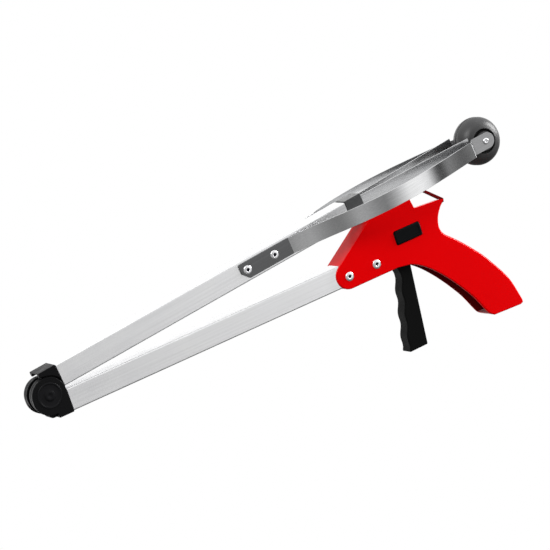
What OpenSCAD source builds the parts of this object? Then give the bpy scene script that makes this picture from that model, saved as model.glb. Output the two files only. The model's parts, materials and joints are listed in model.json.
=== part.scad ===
// Folding reacher grabber. Millimetres, +Z up, the lower tube along X, the hinge at -X and the
// pistol handle at +X. The origin is where the web of the hand meets the back of the handle, on the
// lower tube's axis. The tool is folded, with its jaws drawn shut.

/* [Tubes] */
// Outside width of the square tubes
tube_w = 19.05; // [17:0.05:21]
// Wall of the square tubes
tube_wall = 1.2; // [0.9:0.1:1.6]
// Outside corner radius of the square tubes
tube_corner = 1.4; // [1.2:0.1:2]
// Length of the lower tube from the hinge
low_len = 306; // [304:1:308]
// Length of the upper tube from the hinge
up_len = 292.4; // [292:0.1:293]
// Distance from the lower tube's hinge end to the web of the hand
hand_x = 370; // [365:1:375]

/* [Fold hinge] */
// Angle between the two folded tubes
fold_angle = 5.36; // [5:0.01:6]
// Distance from a tube's hinge end back to the pivot
pivot_back = 14; // [13.9:0.1:14.4]
// Distance from a tube's axis to the pivot
pivot_drop = 10.15; // [10:0.05:11]
// Distance from a tube's hinge end to where its metal shows
tube_start = 1.1; // [1.1:0.1:1.4]
// Radius of the round knuckle
knuckle_r = 15; // [14.5:0.1:15]
// Half width of the hinge halves
hinge_half = 10.2; // [10:0.1:10.6]
// Radius of the hinge pin
pin_r = 2.5; // [2:0.1:3]
// Radius of the round caps over the pin's ends
cap_r = 10.7; // [9:0.1:12]

/* [Handle] */
// Wall of the handle moulding
shell_wall = 2.2; // [1.8:0.1:2.4]
// Width of the horn at the top of the handle
horn_w = 4.2; // [3:0.1:6]
// Width of the rib between the horn and the housing
rib_w = 4; // [4:0.5:12]
// Distance from the hinge end to the front rivet
rivet_front_x = 271; // [269:1:273]
// Distance from the hinge end to the rear rivet
rivet_rear_x = 299; // [297:1:300]
// Height of the handle rivets above the tube's axis
rivet_z = -1.8; // [-2.5:0.1:-1]
// Distance from the hinge end to the trigger pin
trig_x = 326; // [325:0.5:327]
// Height of the trigger pin
trig_z = 26; // [25:0.5:27]
// Thickness of the trigger's finger blade
trig_w = 14; // [12:0.5:15]
// Length of the lock button
lock_len = 26; // [24:0.5:27]
// Height of the lock button
lock_h = 11.5; // [10:0.5:12]

/* [Pull rods] */
// Radius of both pull rods
rod_r = 1.2; // [1:0.1:1.4]
// Distance of the rods from the tube axes, towards the pivot
rod_off = 4.8; // [4.6:0.1:5]
// Radius of the cable through the hinge
cable_r = 0.8; // [0.6:0.1:0.9]

/* [Jaws] */
// Width of the spring steel strips
strip_w = 14.4; // [13:0.1:15]
// Thickness of the outer strips
strip_t = 1; // [0.8:0.1:1.2]
// Thickness of the inner pull strips
pull_t = 0.8; // [0.6:0.1:1]
// Distance from the centre plane to the middle of the tips
tab_y = 15.2; // [15:0.1:15.4]
// Radius of the rubber cups at the rim
cup_r = 21.2; // [20:0.1:22]
// Gap between the two rims when the jaws are shut
cup_gap = 0.6; // [0.4:0.1:1]

/* [Hidden] */
$fn = 48;
eps = 0.01;
fit = 0.05;               // radial clearance of pins and rivets
tube_in = tube_w / 2 - tube_wall;
shell_half = tube_w / 2 + shell_wall + 0.075;
shell_in = shell_half - shell_wall;
pivot_x = -pivot_back;
pivot_z = pivot_drop;
cable_turn_r = pivot_drop - rod_off;
layer_out = 6.4;          // inner face of the lower half's two discs
layer_mid = 2.9;          // inner face of the upper half's two discs
layer_gap = 0.15;
sweep_r = knuckle_r + 0.3;
lobe_drop = 1.4;          // how far the lower half's knuckle reaches below the round
lobe_sweep_r = knuckle_r + lobe_drop + 0.2;
lip = 1.4;                // how far the upper half's block reaches past the pivot
lip_gap = 0.2;
lug_r = 3.6;
lug_x = -15.3;
lug_z = -5.6;
skin = 0.8;               // top of the upper half over the lug's recess
button_floor = 7.4;
button_back = 9.05;
spigot_len = 30;
rivet_r = 2.2;
rivet_head_r = 3.9;
rivet_hole_r = 1.35;
strip_rivet_rear_u = 186.5;
strip_rivet_front_u = 214.2;
root_u = 180;             // hinge end of the outer strips
bend_u = 231;             // end of the strips' flat root
tip_y = 22.9;             // middle of the strip where the jog starts
sag = 0.83;               // how much the bowed strips lean down from their roots
flex_gap = 0.25;
jaw_root_y = tube_w / 2 + strip_t / 2;
tip_u = 418.5;            // start of the jog at the tip
tab_u = 424;              // start of the flat tip
cup_u = 437.5;            // centre of the cup and its rivet
tab_r = strip_w / 2;
block_u = 293.5;
block_len = 16.5;
block_half_y = 7.8;
block_half_z = 9.9;
link_u = 306;
link_y = 3.8;
link_r = 1.1;
eye_r = 2.1;
pull_end_u = 421.5;
pull_end_y = 15.6;
rod_end_x = 12;           // where the cable's ferrules begin
ferrule_len = 10;
ferrule_r = 1.9;
guide_len = 12;
lock_x = 336.5;
lock_z = 11.8;
lock_pin = [lock_x + 2, lock_z];
lock_pin_r = 1.2;
release = 13.5;           // swing of the trigger from squeezed to let out

// ---- frames ----

// From the lower tube's hinge end to the origin at the hand
module low() {
  translate([-hand_x, 0, 0]) children();
}

// From the upper tube's hinge end to the origin, folded back about the pivot
module up() {
  low() translate([pivot_x, 0, pivot_z]) rotate([0, -fold_angle, 0])
    translate([pivot_back, 0, pivot_drop]) children();
}

// ---- shared shapes ----

// A cylinder along Y from y0 to y1 at x, z
module rod_y(x, z, y0, y1, r) {
  translate([x, y1, z]) rotate([90, 0, 0]) cylinder(r = r, h = y1 - y0);
}

// A cylinder along X from x0 to x1 at y = 0 and height z
module rod_x(x0, x1, z, r) {
  translate([x0, 0, z]) rotate([0, 90, 0]) cylinder(r = r, h = x1 - x0);
}

// A block given by its lowest and highest corners
module block(a, b) {
  translate(a) cube(b - a);
}

// A square with round corners, centred
module round_square(w, r) {
  square([w, w - 2 * r], center = true);
  square([w - 2 * r, w], center = true);
  for (sx = [-1, 1], sy = [-1, 1])
    translate([sx * (w / 2 - r), sy * (w / 2 - r)]) circle(r = r);
}

// A square tube along X that ends at len
module square_tube(len) {
  translate([tube_start, 0, 0]) rotate([90, 0, 90]) linear_extrude(height = len - tube_start) difference() {
    round_square(tube_w, tube_corner);
    square(2 * tube_in, center = true);
  }
}

// A rivet along Y through everything between the faces at -reach and +reach, with hollow ends
module rivet(x, z, reach) {
  difference() {
    union() {
      rod_y(x, z, -reach - eps, reach + eps, rivet_r);
      for (s = [-1, 1]) translate([x, s * reach, z]) rotate([s * -90, 0, 0])
        cylinder(r1 = rivet_head_r, r2 = rivet_head_r - 0.8, h = 1.1);
    }
    for (s = [-1, 1]) translate([x, s * (reach + 1.2), z]) rotate([s * 90, 0, 0])
      cylinder(r = rivet_hole_r, h = 3);
  }
}

// Points of a cubic curve between two points with given slopes
function curve(a, sa, b, sb, n) = let (w = b[0] - a[0]) [
  for (i = [0:n]) let (t = i / n) [
    a[0] + w * t,
    a[1] * (2 * t * t * t - 3 * t * t + 1) + w * sa * (t * t * t - 2 * t * t + t)
      + b[1] * (-2 * t * t * t + 3 * t * t) + w * sb * (t * t * t - t * t)
  ]
];

// Unit normal of a path at point i
function path_normal(p, i) =
  let (a = p[max(i - 1, 0)], b = p[min(i + 1, len(p) - 1)], d = b - a) [-d[1], d[0]] / norm(d);

// A strip of constant thickness along a path
module ribbon(path, t) {
  n = len(path);
  polygon(concat(
    [for (i = [0:n - 1]) path[i] + path_normal(path, i) * t / 2],
    [for (i = [n - 1:-1:0]) path[i] - path_normal(path, i) * t / 2]
  ));
}

// A round wire wound along Z
module coil(r, wire, turns, pitch) {
  steps = 18;
  sides = 8;
  n = round(steps * turns);
  ring = [for (i = [0:n], k = [0:sides - 1])
    let (a = 360 * i / steps, b = 360 * k / sides, q = r + wire * cos(b))
      [q * cos(a), q * sin(a), pitch * i / steps + wire * sin(b)]];
  side_faces = [for (i = [0:n - 1], k = [0:sides - 1])
    let (a = i * sides + k, b = i * sides + (k + 1) % sides) [a, b, b + sides, a + sides]];
  polyhedron(
    points = ring,
    faces = concat(side_faces, [[for (k = [sides - 1:-1:0]) k]], [[for (k = [0:sides - 1]) n * sides + k]]),
    convexity = 6
  );
}

// ---- lower arm ----

module lower_tube() {
  color("silver") low() difference() {
    square_tube(low_len);
    for (x = [rivet_front_x, rivet_rear_x])
      rod_y(x, rivet_z, -tube_w, tube_w, rivet_r + fit);
  }
}

// Side view of the handle, as x from the hinge end and z
function handle_outline() = concat(
  [for (a = [90 + 34:12:270]) [270.5, -1] + 11.6 * [cos(a), sin(a)]],
  [[318, -12.6]],
  curve([330, -14.6], -0.35, [369, -50.3], -1.35, 6),
  [[378.5, -64.5], [386, -79.5], [389, -84.5], [393, -87.4]],
  [[421, -88.8], [423.6, -87.6], [424, -85]],
  [[419.8, -67], [414.6, -55.5], [407.7, -44.3], [400.8, -34], [393.2, -24.9], [385.2, -16]],
  [[376.6, -7.6], [371.2, -2.6], [368.6, 2], [368.2, 7], [370.4, 14], [375.2, 21.2], [380.2, 25.8]],
  [[379.2, 27.6], [350.4, 29.6], [349, 31], [348.3, 40.3], [307, 37.2]]
);

// Side view of the rib from the horn's tip up to the housing's rear corner
function rib_outline() = [
  [380.2, 25.8], [379.6, 27.8], [364.4, 41.6], [361, 43.2], [346.4, 42.4], [346.4, 39.8], [360.4, 41.2],
  [362.6, 40.2], [376.2, 27.4]
];

// Side view of the space inside the handle: mechanism chamber and grip channel
function chamber_outline() = [
  [262.5, -10.3], [318, -10.4], [318, -30], [352, -30], [366, -20.5], [368.6, -12], [366, -6], [364.8, 2],
  [364.6, 8], [366.8, 15.5], [368.4, 18.4], [352.4, 18.8], [346.2, 22.6], [345.6, 37.9], [308, 35.2],
  [262.5, 5.6]
];
function channel_outline() = [
  [338, -8], [338, -24], [350, -40], [362, -56], [372, -76], [384, -83.4], [420.4, -85.4], [421.2, -83.5],
  [417.3, -67.6], [405.4, -45.4], [391, -26.6], [372, -8.4], [352, -6]
];

module handle_plate(points, half) {
  translate([0, half, 0]) rotate([90, 0, 0]) linear_extrude(height = 2 * half) polygon(points);
}

module handle_shell() {
  color("red") low() difference() {
    union() {
      difference() {
        handle_plate(handle_outline(), shell_half);
        handle_plate(chamber_outline(), shell_in);
        handle_plate(channel_outline(), shell_in);
        // the far side is cut down behind the housing, which leaves the horn on the near side
        block([348.3, -shell_half + horn_w, 21], [400, shell_half + 1, 60]);
      }
      translate([0, -shell_half + rib_w, 0]) rotate([90, 0, 0]) linear_extrude(height = rib_w)
        polygon(rib_outline());
      // pads round the rivets and the trigger pin boss
      rod_y(trig_x, trig_z, 5.4, shell_in + 0.2, 4.4);
      rod_y(trig_x, trig_z, -shell_in - 0.2, -5.4, 4.4);
    }
    block(
      [250, -tube_w / 2 - 0.05, -tube_w / 2 - 0.05],
      [low_len + 1, tube_w / 2 + 0.05, tube_w / 2 + 0.05]
    );
    block([303, -8, -20], [338, 8, -5]);
    for (x = [rivet_front_x, rivet_rear_x]) rod_y(x, rivet_z, -20, 20, rivet_r + fit);
    rod_y(trig_x, trig_z, -shell_half + 1, shell_half - 1, 2 + fit);
    lock_window();
  }
}

module lock_window() {
  gap = 0.7;
  block([lock_x - lock_len / 2 - gap, -20, lock_z - lock_h / 2 - gap],
        [lock_x + lock_len / 2 + gap, -5, lock_z + lock_h / 2 + gap]);
}

module handle_rivet_front() {
  color("gainsboro") low() rivet(rivet_front_x, rivet_z, shell_half);
}

module handle_rivet_rear() {
  color("gainsboro") low() rivet(rivet_rear_x, rivet_z, shell_half);
}

// ---- trigger and lock ----

// Side view of the trigger's finger blade, with shallow finger waves down its front
function blade_outline() = concat(
  [[317.6, -8]],
  [for (i = [0:24]) let (z = -19 - 64 * i / 24) [325 + 0.2313 * z + 0.8 * cos(360 * (z + 44) / 19.5), z]],
  [[305.2, -86.4], [306.4, -87]],
  [[323.4, -86.6], [324.4, -85.8], [332, -17.5], [332.6, -8]]
);

function lever_outline() = [
  [318.4, 26], [319.6, 31], [323, 33.4], [329, 33.4], [332.4, 31], [334, 22], [343, 18.6], [344.6, 14],
  [343, 4.6], [335, -1], [332.6, -8.5], [317.6, -8.5], [318.4, 6]
];

module trigger() {
  slot_r = 1.5 + 0.1;
  color("#1c1c1e") low() difference() {
    union() {
      handle_plate(blade_outline(), trig_w / 2);
      handle_plate(lever_outline(), 5);
    }
    rod_y(trig_x, trig_z, -10, 10, 2 + fit);
    // room for the rod's end and its pin, which slides down 1 mm as the trigger swings
    block([300, -2.1, -0.5], [331, 2.1, 9.5]);
    for (dz = [0.1, -0.8]) rod_y(trig_x, rod_off + dz, -10, 10, slot_r);
    block([trig_x - slot_r, -10, rod_off - 0.8], [trig_x + slot_r, 10, rod_off + 0.1]);
    // blind holes for the lock's pin, with the trigger squeezed and with it let out
    for (a = [0, release]) let (d = lock_pin - [trig_x, trig_z])
      rod_y(trig_x + d[0] * cos(a) - d[1] * sin(a), trig_z + d[1] * cos(a) + d[0] * sin(a),
            -6, -1.4, lock_pin_r + 0.25);
  }
}

module trigger_pin() {
  color("gray") low() rod_y(trig_x, trig_z, -shell_half + 1.1, shell_half - 1.1, 2);
}

module trigger_spring() {
  color("dimgray") low() translate([trig_x, 5.15, trig_z]) rotate([90, 0, 0])
    translate([0, 0, -3.9]) coil(5.6, 0.4, 3.5, 1.0);
}

module lock_button() {
  x = [lock_x - lock_len / 2, lock_x + lock_len / 2];
  z = [lock_z - lock_h / 2, lock_z + lock_h / 2];
  color("#202024") low() {
    block([x[0], -shell_half - 1.2, z[0]], [x[1], -shell_in + 0.2, z[1]]);
    block([x[0] - 1.4, -shell_in + 0.1, z[0] - 1.4], [x[1] + 1.4, -shell_in + 1.1, z[1] + 1.4]);
    rod_y(lock_pin[0], lock_pin[1], -shell_in + 0.6, -5.6, lock_pin_r);
  }
}

// ---- pull line ----

module lower_pull_rod() {
  color("gray") low() difference() {
    union() {
      rod_x(rod_end_x + ferrule_len - 2, trig_x - 2, rod_off, rod_r);
      rod_y(trig_x, rod_off, -1.8, 1.8, 3.2);
    }
    rod_y(trig_x, rod_off, -10, 10, 1.5 + fit);
  }
}

module rod_end_pin() {
  color("silver") low() rod_y(trig_x, rod_off, -4.9, 4.9, 1.5);
}

// A crimped sleeve over the end of the cable and of its rod, at height z
module ferrule(z) {
  difference() {
    rod_x(rod_end_x, rod_end_x + ferrule_len, z, ferrule_r);
    rod_x(rod_end_x - 1, rod_end_x + ferrule_len - 2.5, z, cable_r + fit);
    rod_x(rod_end_x + ferrule_len - 2.5, rod_end_x + ferrule_len + 1, z, rod_r);
  }
}

module lower_ferrule() {
  color("darkgray") low() ferrule(rod_off);
}

module upper_ferrule() {
  color("darkgray") up() ferrule(-rod_off);
}

// A square plug with a bore for the rod
module rod_guide(x0, z) {
  difference() {
    block([x0, -tube_in + 0.1, -tube_in + 0.1], [x0 + guide_len, tube_in - 0.1, tube_in - 0.1]);
    rod_x(x0 - 1, x0 + guide_len + 1, z, rod_r + 0.08);
  }
}

module lower_rod_guide() {
  color("#303034") low() rod_guide(240, rod_off);
}

module upper_rod_guide() {
  color("#303034") up() rod_guide(up_len - guide_len, -rod_off);
}

module upper_pull_rod() {
  color("gray") up() rod_x(rod_end_x + ferrule_len - 2, block_u + 4, -rod_off, rod_r);
}

module cable_pulley() {
  color("#3a3a3e") low() translate([pivot_x, 0, pivot_z]) rotate([90, 0, 0]) difference() {
    rotate_extrude() polygon([
      [pin_r + fit, -layer_mid + 0.2], [cable_turn_r + 1.4, -layer_mid + 0.2],
      [cable_turn_r - cable_r - 0.1, -1], [cable_turn_r - cable_r - 0.1, 1],
      [cable_turn_r + 1.4, layer_mid - 0.2], [pin_r + fit, layer_mid - 0.2]
    ]);
  }
}

// The cable runs along the lower rod's line, round the pulley and along the upper rod's line
module pull_cable() {
  color("lightgray") low() {
    rod_x(pivot_x, rod_end_x + ferrule_len - 3, rod_off, cable_r);
    translate([pivot_x, 0, pivot_z]) rotate([90, 0, 0]) rotate([0, 0, 90 + fold_angle])
      rotate_extrude(angle = 180 - fold_angle) translate([cable_turn_r, 0]) circle(r = cable_r);
    translate([pivot_x, 0, pivot_z]) rotate([0, -fold_angle, 0]) translate([0, 0, pivot_drop - rod_off])
      rod_x(0, pivot_back + rod_end_x + ferrule_len - 3, 0, cable_r);
  }
}

// ---- fold hinge ----

// The plug of a hinge half inside its tube
module spigot() {
  block([0, -tube_in + 0.1, -tube_in + 0.1], [spigot_len, tube_in - 0.1, tube_in - 0.1]);
}

// Two knuckle discs between inner and outer, one each side of the centre
module knuckle_pair(inner, outer, r) {
  for (s = [-1, 1])
    rod_y(pivot_x, 0, min(s * inner, s * outer), max(s * inner, s * outer), r);
}

module hinge_lower_half() {
  block_end = tube_start - 0.05;
  color("#18181a") low() difference() {
    union() {
      difference() {
        union() {
          block(
            [pivot_x + lip + lip_gap, -hinge_half, -hinge_half],
            [block_end, hinge_half, pivot_z - 0.05]
          );
          spigot();
          // lug that ends up between the upper half's side plates
          rod_y(lug_x, lug_z, -layer_out + 0.3, layer_out - 0.3, lug_r);
          block([lug_x, -layer_out + 0.3, lug_z - lug_r], [pivot_x + lip + 1, layer_out - 0.3, lug_z]);
        }
        translate([0, 0, pivot_z]) rod_y(pivot_x, 0, -layer_out, layer_out, sweep_r);
      }
      translate([0, 0, pivot_z]) knuckle_pair(layer_out, hinge_half, knuckle_r);
      translate([0, 0, pivot_z - lobe_drop]) knuckle_pair(layer_out, hinge_half, knuckle_r);
    }
    rod_y(pivot_x, pivot_z, -20, 20, pin_r + fit);
    rod_y(pivot_x, pivot_z, -20, -button_floor, cap_r + 0.1);
    rod_y(pivot_x, pivot_z, hinge_half - 1.2, 20, cap_r + 0.1);
    rod_x(-12, spigot_len + 1, rod_off, ferrule_r + 0.4);
  }
}

module hinge_upper_half() {
  block_end = tube_start - 0.05;
  inner = layer_out - layer_gap;
  color("#18181a") up() difference() {
    union() {
      difference() {
        union() {
          block([pivot_x - lip, -hinge_half, -pivot_drop + 0.05], [block_end, hinge_half, hinge_half]);
          spigot();
        }
        for (s = [-1, 1]) translate([0, 0, -pivot_drop])
          rod_y(pivot_x, 0, s > 0 ? inner : -20, s > 0 ? 20 : -inner, lobe_sweep_r);
        // room for the lower half's lug, and for its block past the pivot
        block([pivot_x - lip - 1, -inner, -pivot_drop - 1], [pivot_x + 0.1, inner, hinge_half - skin]);
        block([pivot_x - lip - 1, -inner, lug_z * -1 - lug_r - 0.3],
              [2 * pivot_x - lug_x + lug_r + 0.3, inner, hinge_half - skin]);
        translate([0, 0, -pivot_drop]) rod_y(pivot_x, 0, -layer_mid, layer_mid, cable_turn_r + 3);
      }
      translate([0, 0, -pivot_drop]) knuckle_pair(layer_mid, inner, knuckle_r);
    }
    rod_y(pivot_x, -pivot_drop, -20, 20, pin_r + fit);
    rod_x(-12, spigot_len + 1, -rod_off, ferrule_r + 0.4);
  }
}

module hinge_pin() {
  color("gray") low() rod_y(pivot_x, pivot_z, -button_floor + 0.1, hinge_half - 1.4, pin_r);
}

// A round cap with a raised rim and middle, facing outwards from its back at the given distance
module hinge_cap(s, back) {
  color("#1e1e20") low() translate([pivot_x, s * back, pivot_z]) rotate([s * -90, 0, 0]) {
    cylinder(r = cap_r, h = 1.1);
    cylinder(r = 4.3, h = 1.9);
    difference() {
      cylinder(r = cap_r, h = 1.6);
      translate([0, 0, -1]) cylinder(r = cap_r - 1.6, h = 4);
    }
  }
}

module hinge_button() {
  hinge_cap(-1, button_back);
}

module hinge_button_spring() {
  color("dimgray") low() translate([pivot_x, -button_floor - 0.25, pivot_z]) rotate([90, 0, 0])
    coil(6, 0.2, 2, 0.5);
}

module hinge_cap_far() {
  hinge_cap(1, button_back);
}

// ---- upper arm and jaws ----

module upper_tube() {
  color("silver") up() difference() {
    square_tube(up_len);
    for (u = [strip_rivet_rear_u, strip_rivet_front_u])
      rod_y(u, 0, -tube_w, tube_w, rivet_r + fit);
  }
}

module pull_block() {
  color("#3c3c40") up() difference() {
    block([block_u, -block_half_y, -block_half_z], [block_u + block_len, block_half_y, block_half_z]);
    block([link_u - eye_r - 0.6, -6.9, -strip_w / 2 - 0.3],
          [block_u + block_len + 1, 6.9, strip_w / 2 + 0.3]);
    rod_x(block_u - 1, block_u + 4, -rod_off, rod_r);
    for (s = [-1, 1]) translate([link_u, s * link_y, -20]) cylinder(r = link_r + fit, h = 40);
  }
}

module link_pin(s) {
  color("silver") up() translate([link_u, s * link_y, -block_half_z + 0.2])
    cylinder(r = link_r, h = 2 * block_half_z - 0.4);
}

module link_pin_near() {
  link_pin(-1);
}

module link_pin_far() {
  link_pin(1);
}

// The jaws' frame: the upper frame leaning down from the bend in the strips
module jaw() {
  up() translate([bend_u, 0, 0]) rotate([0, sag, 0]) translate([-bend_u, 0, 0]) children();
}

// Stands a plan-view outline up as a strip; s = -1 is the near side
module stand(s) {
  jaw()
    mirror([0, s < 0 ? 1 : 0, 0])
    translate([0, 0, -strip_w / 2])
    linear_extrude(height = strip_w)
    children();
}

module pull_strip(s) {
  slope = (pull_end_y - link_y) / (pull_end_u - link_u);
  color("#8f9194") up() mirror([0, s < 0 ? 1 : 0, 0]) difference() {
    union() {
      translate([link_u, link_y, -strip_w / 2]) cylinder(r = eye_r, h = strip_w);
      translate([0, 0, -strip_w / 2]) linear_extrude(height = strip_w)
        ribbon([[link_u + 1.4, link_y + 0.2], [330, link_y + 24 * slope], [pull_end_u, pull_end_y]], pull_t);
    }
    translate([link_u, link_y, -strip_w]) cylinder(r = link_r + 0.06, h = 2 * strip_w);
  }
}

module near_pull_strip() {
  pull_strip(-1);
}

module far_pull_strip() {
  pull_strip(1);
}

// Plan view of the outer strip's bowed part, from the bend to the tip
function bow_path() = concat(
  curve([bend_u + flex_gap, jaw_root_y], 0.2, [274, 24], 0.45, 8),
  [for (i = [1:12]) curve([274, 24], 0.45, [337, 38], 0, 12)[i]],
  [for (i = [1:12]) curve([337, 38], 0, [tip_u, tip_y], -0.24, 12)[i]],
  [[tab_u, tab_y]]
);

module strip_root(s) {
  y0 = tube_w / 2;
  color("#55575a") up() mirror([0, s < 0 ? 1 : 0, 0]) difference() {
    translate([0, y0 + strip_t, 0]) rotate([90, 0, 0]) linear_extrude(height = strip_t) polygon([
      [bend_u, -strip_w / 2], [bend_u, strip_w / 2], [root_u + 1, strip_w / 2], [root_u, strip_w / 2 - 1],
      [root_u, -1], [root_u + 6, -strip_w / 2]
    ]);
    for (u = [strip_rivet_rear_u, strip_rivet_front_u]) rod_y(u, 0, 0, 20, rivet_r + fit);
  }
}

module near_strip_root() {
  strip_root(-1);
}

module far_strip_root() {
  strip_root(1);
}

module strip_blade(s) {
  color("#a4a6a9") {
    stand(s) ribbon(bow_path(), strip_t);
    jaw() mirror([0, s < 0 ? 1 : 0, 0]) difference() {
      translate([0, tab_y + strip_t / 2, 0]) rotate([90, 0, 0]) linear_extrude(height = strip_t) union() {
        translate([tab_u - 0.1, -strip_w / 2]) square([cup_u + 1.5 - tab_u, strip_w]);
        translate([cup_u + 1.4, 0]) circle(r = tab_r);
      }
      rod_y(cup_u, 0, 0, 40, 1.6 + fit);
    }
  }
}

module near_strip_blade() {
  strip_blade(-1);
}

module far_strip_blade() {
  strip_blade(1);
}

module jaw_rivet_rear() {
  color("gainsboro") up() rivet(strip_rivet_rear_u, 0, tube_w / 2 + strip_t);
}

module jaw_rivet_front() {
  color("gainsboro") up() rivet(strip_rivet_front_u, 0, tube_w / 2 + strip_t);
}

// Half section of a rubber cup: radius and distance from the centre plane
function cup_section() = let (y0 = cup_gap / 2, y1 = tab_y - strip_t / 2) [
  [1.6 + fit, y1 - 6], [8.5, y1 - 6], [14, y0 + 5.4], [cup_r - 3.2, y0 + 1.2], [cup_r - 1.2, y0],
  [cup_r, y0 + 1], [cup_r - 0.2, y0 + 3], [cup_r - 1.2, y0 + 6], [cup_r - 3.2, y0 + 9],
  [cup_r - 6.2, y0 + 11.5], [11.4, y0 + 13], [10.4, y0 + 12.9], [9.8, y0 + 11.8],
  [9, y0 + 11.9], [8.6, y1 - 0.4], [8.2, y1], [1.6 + fit, y1]
];

module cup(s) {
  color("#2b2b2d") jaw() translate([cup_u, 0, 0]) rotate([s * -90, 0, 0]) rotate_extrude($fn = 96)
    polygon(cup_section());
}

module near_cup() {
  cup(-1);
}

module far_cup() {
  cup(1);
}

// The rivet that holds a cup to its tip, and the washer inside the cup
module cup_rivet(s) {
  y1 = tab_y - strip_t / 2 - 6;
  color("gainsboro") jaw() mirror([0, s < 0 ? 1 : 0, 0]) {
    rod_y(cup_u, 0, y1 - 1.6, tab_y + strip_t / 2 + 0.1, 1.6);
    translate([cup_u, tab_y + strip_t / 2, 0]) rotate([-90, 0, 0]) cylinder(r1 = 2.9, r2 = 2.1, h = 1);
    translate([cup_u, y1 - 1, 0]) rotate([90, 0, 0]) cylinder(r1 = 2.7, r2 = 2, h = 0.9);
  }
}

module near_cup_rivet() {
  cup_rivet(-1);
}

module far_cup_rivet() {
  cup_rivet(1);
}

module cup_washer(s) {
  y1 = tab_y - strip_t / 2 - 6;
  color("darkgray") jaw() mirror([0, s < 0 ? 1 : 0, 0]) difference() {
    rod_y(cup_u, 0, y1 - 1, y1, 5);
    rod_y(cup_u, 0, y1 - 2, y1 + 1, 1.6 + fit);
  }
}

module near_cup_washer() {
  cup_washer(-1);
}

module far_cup_washer() {
  cup_washer(1);
}

lower_tube();
handle_shell();
handle_rivet_front();
handle_rivet_rear();
trigger();
trigger_pin();
trigger_spring();
lock_button();
lower_pull_rod();
rod_end_pin();
lower_ferrule();
lower_rod_guide();
hinge_lower_half();
hinge_upper_half();
hinge_pin();
hinge_button();
hinge_button_spring();
hinge_cap_far();
cable_pulley();
pull_cable();
upper_tube();
upper_pull_rod();
upper_ferrule();
upper_rod_guide();
pull_block();
link_pin_near();
link_pin_far();
near_pull_strip();
far_pull_strip();
near_strip_root();
far_strip_root();
near_strip_blade();
far_strip_blade();
jaw_rivet_rear();
jaw_rivet_front();
near_cup();
far_cup();
near_cup_rivet();
far_cup_rivet();
near_cup_washer();
far_cup_washer();
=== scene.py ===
"""Looks of the folding reacher grabber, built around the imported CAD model."""

import json
import math

import bmesh
import bpy
from mathutils import Matrix, Vector


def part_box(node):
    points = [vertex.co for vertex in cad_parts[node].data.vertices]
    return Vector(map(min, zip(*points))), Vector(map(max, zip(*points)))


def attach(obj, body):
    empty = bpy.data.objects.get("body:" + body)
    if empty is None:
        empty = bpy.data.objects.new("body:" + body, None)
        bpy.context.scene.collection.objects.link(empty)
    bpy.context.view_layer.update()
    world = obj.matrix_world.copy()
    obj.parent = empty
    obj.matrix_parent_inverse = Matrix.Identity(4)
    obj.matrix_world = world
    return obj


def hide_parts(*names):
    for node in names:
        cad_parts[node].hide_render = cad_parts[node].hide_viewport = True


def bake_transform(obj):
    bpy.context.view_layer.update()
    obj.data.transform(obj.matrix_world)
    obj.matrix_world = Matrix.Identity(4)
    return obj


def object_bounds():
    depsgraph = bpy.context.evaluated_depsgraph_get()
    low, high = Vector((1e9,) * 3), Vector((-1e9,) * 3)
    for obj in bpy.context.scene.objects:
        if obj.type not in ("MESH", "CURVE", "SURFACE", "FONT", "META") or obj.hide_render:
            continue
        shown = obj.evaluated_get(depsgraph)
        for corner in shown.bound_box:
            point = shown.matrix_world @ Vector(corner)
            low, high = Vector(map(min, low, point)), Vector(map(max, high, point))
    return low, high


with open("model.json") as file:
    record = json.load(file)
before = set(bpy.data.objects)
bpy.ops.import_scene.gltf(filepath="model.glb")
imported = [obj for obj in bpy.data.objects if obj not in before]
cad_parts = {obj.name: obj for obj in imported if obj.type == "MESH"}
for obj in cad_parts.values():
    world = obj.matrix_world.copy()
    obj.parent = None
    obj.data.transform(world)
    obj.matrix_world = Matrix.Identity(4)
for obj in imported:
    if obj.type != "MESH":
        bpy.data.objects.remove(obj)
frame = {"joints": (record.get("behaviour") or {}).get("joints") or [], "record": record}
CAD_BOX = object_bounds()
MM = 0.001

# ---- places from the frame; every size below is in millimetres ----

RECORD = frame["record"]
BODY_OF = {n: body for body, nodes in RECORD["behaviour"]["bodies"].items() for n in nodes}
SLOT_OF = {s["node"]: s["material_slot"] for s in RECORD["subparts"]}
JOINTS = {j["name"]: j for j in frame["joints"]}
PIVOT = Vector(JOINTS["fold"]["pos_m"]) / MM
ALONG_UP = Vector(JOINTS["block_slide"]["axis"])
FOLD = math.atan2(ALONG_UP.z, ALONG_UP.x)
BACK = 14.0  # from a tube's nominal hinge end back to the pivot
DROP = PIVOT.z
TUBE_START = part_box("lower_tube")[0].x / MM - (PIVOT.x + BACK)
LOW_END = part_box("lower_tube")[1].x / MM - (PIVOT.x + BACK)
TUBE_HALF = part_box("lower_tube")[1].y / MM
SHELL_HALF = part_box("handle_shell")[1].y / MM
SHELL_IN = SHELL_HALF - 2.2
STRIP_HALF = 7.2  # half width of the strips
STRIP_T = 1.0
HINGE_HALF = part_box("hinge_lower_half")[1].y / MM

# From the nominal hinge end of either tube, in millimetres, to the model's frame
SCALE = Matrix.Scale(MM, 4)
LOW = SCALE @ Matrix.Translation((PIVOT.x + BACK, 0, 0))
UP = (
    SCALE
    @ Matrix.Translation(PIVOT)
    @ Matrix.Rotation(-FOLD, 4, "Y")
    @ Matrix.Translation((BACK, 0, DROP))
)
MIRROR = Matrix.Diagonal((1, -1, 1, 1))  # from the far side to the near side

# ---- outlines ----


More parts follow.
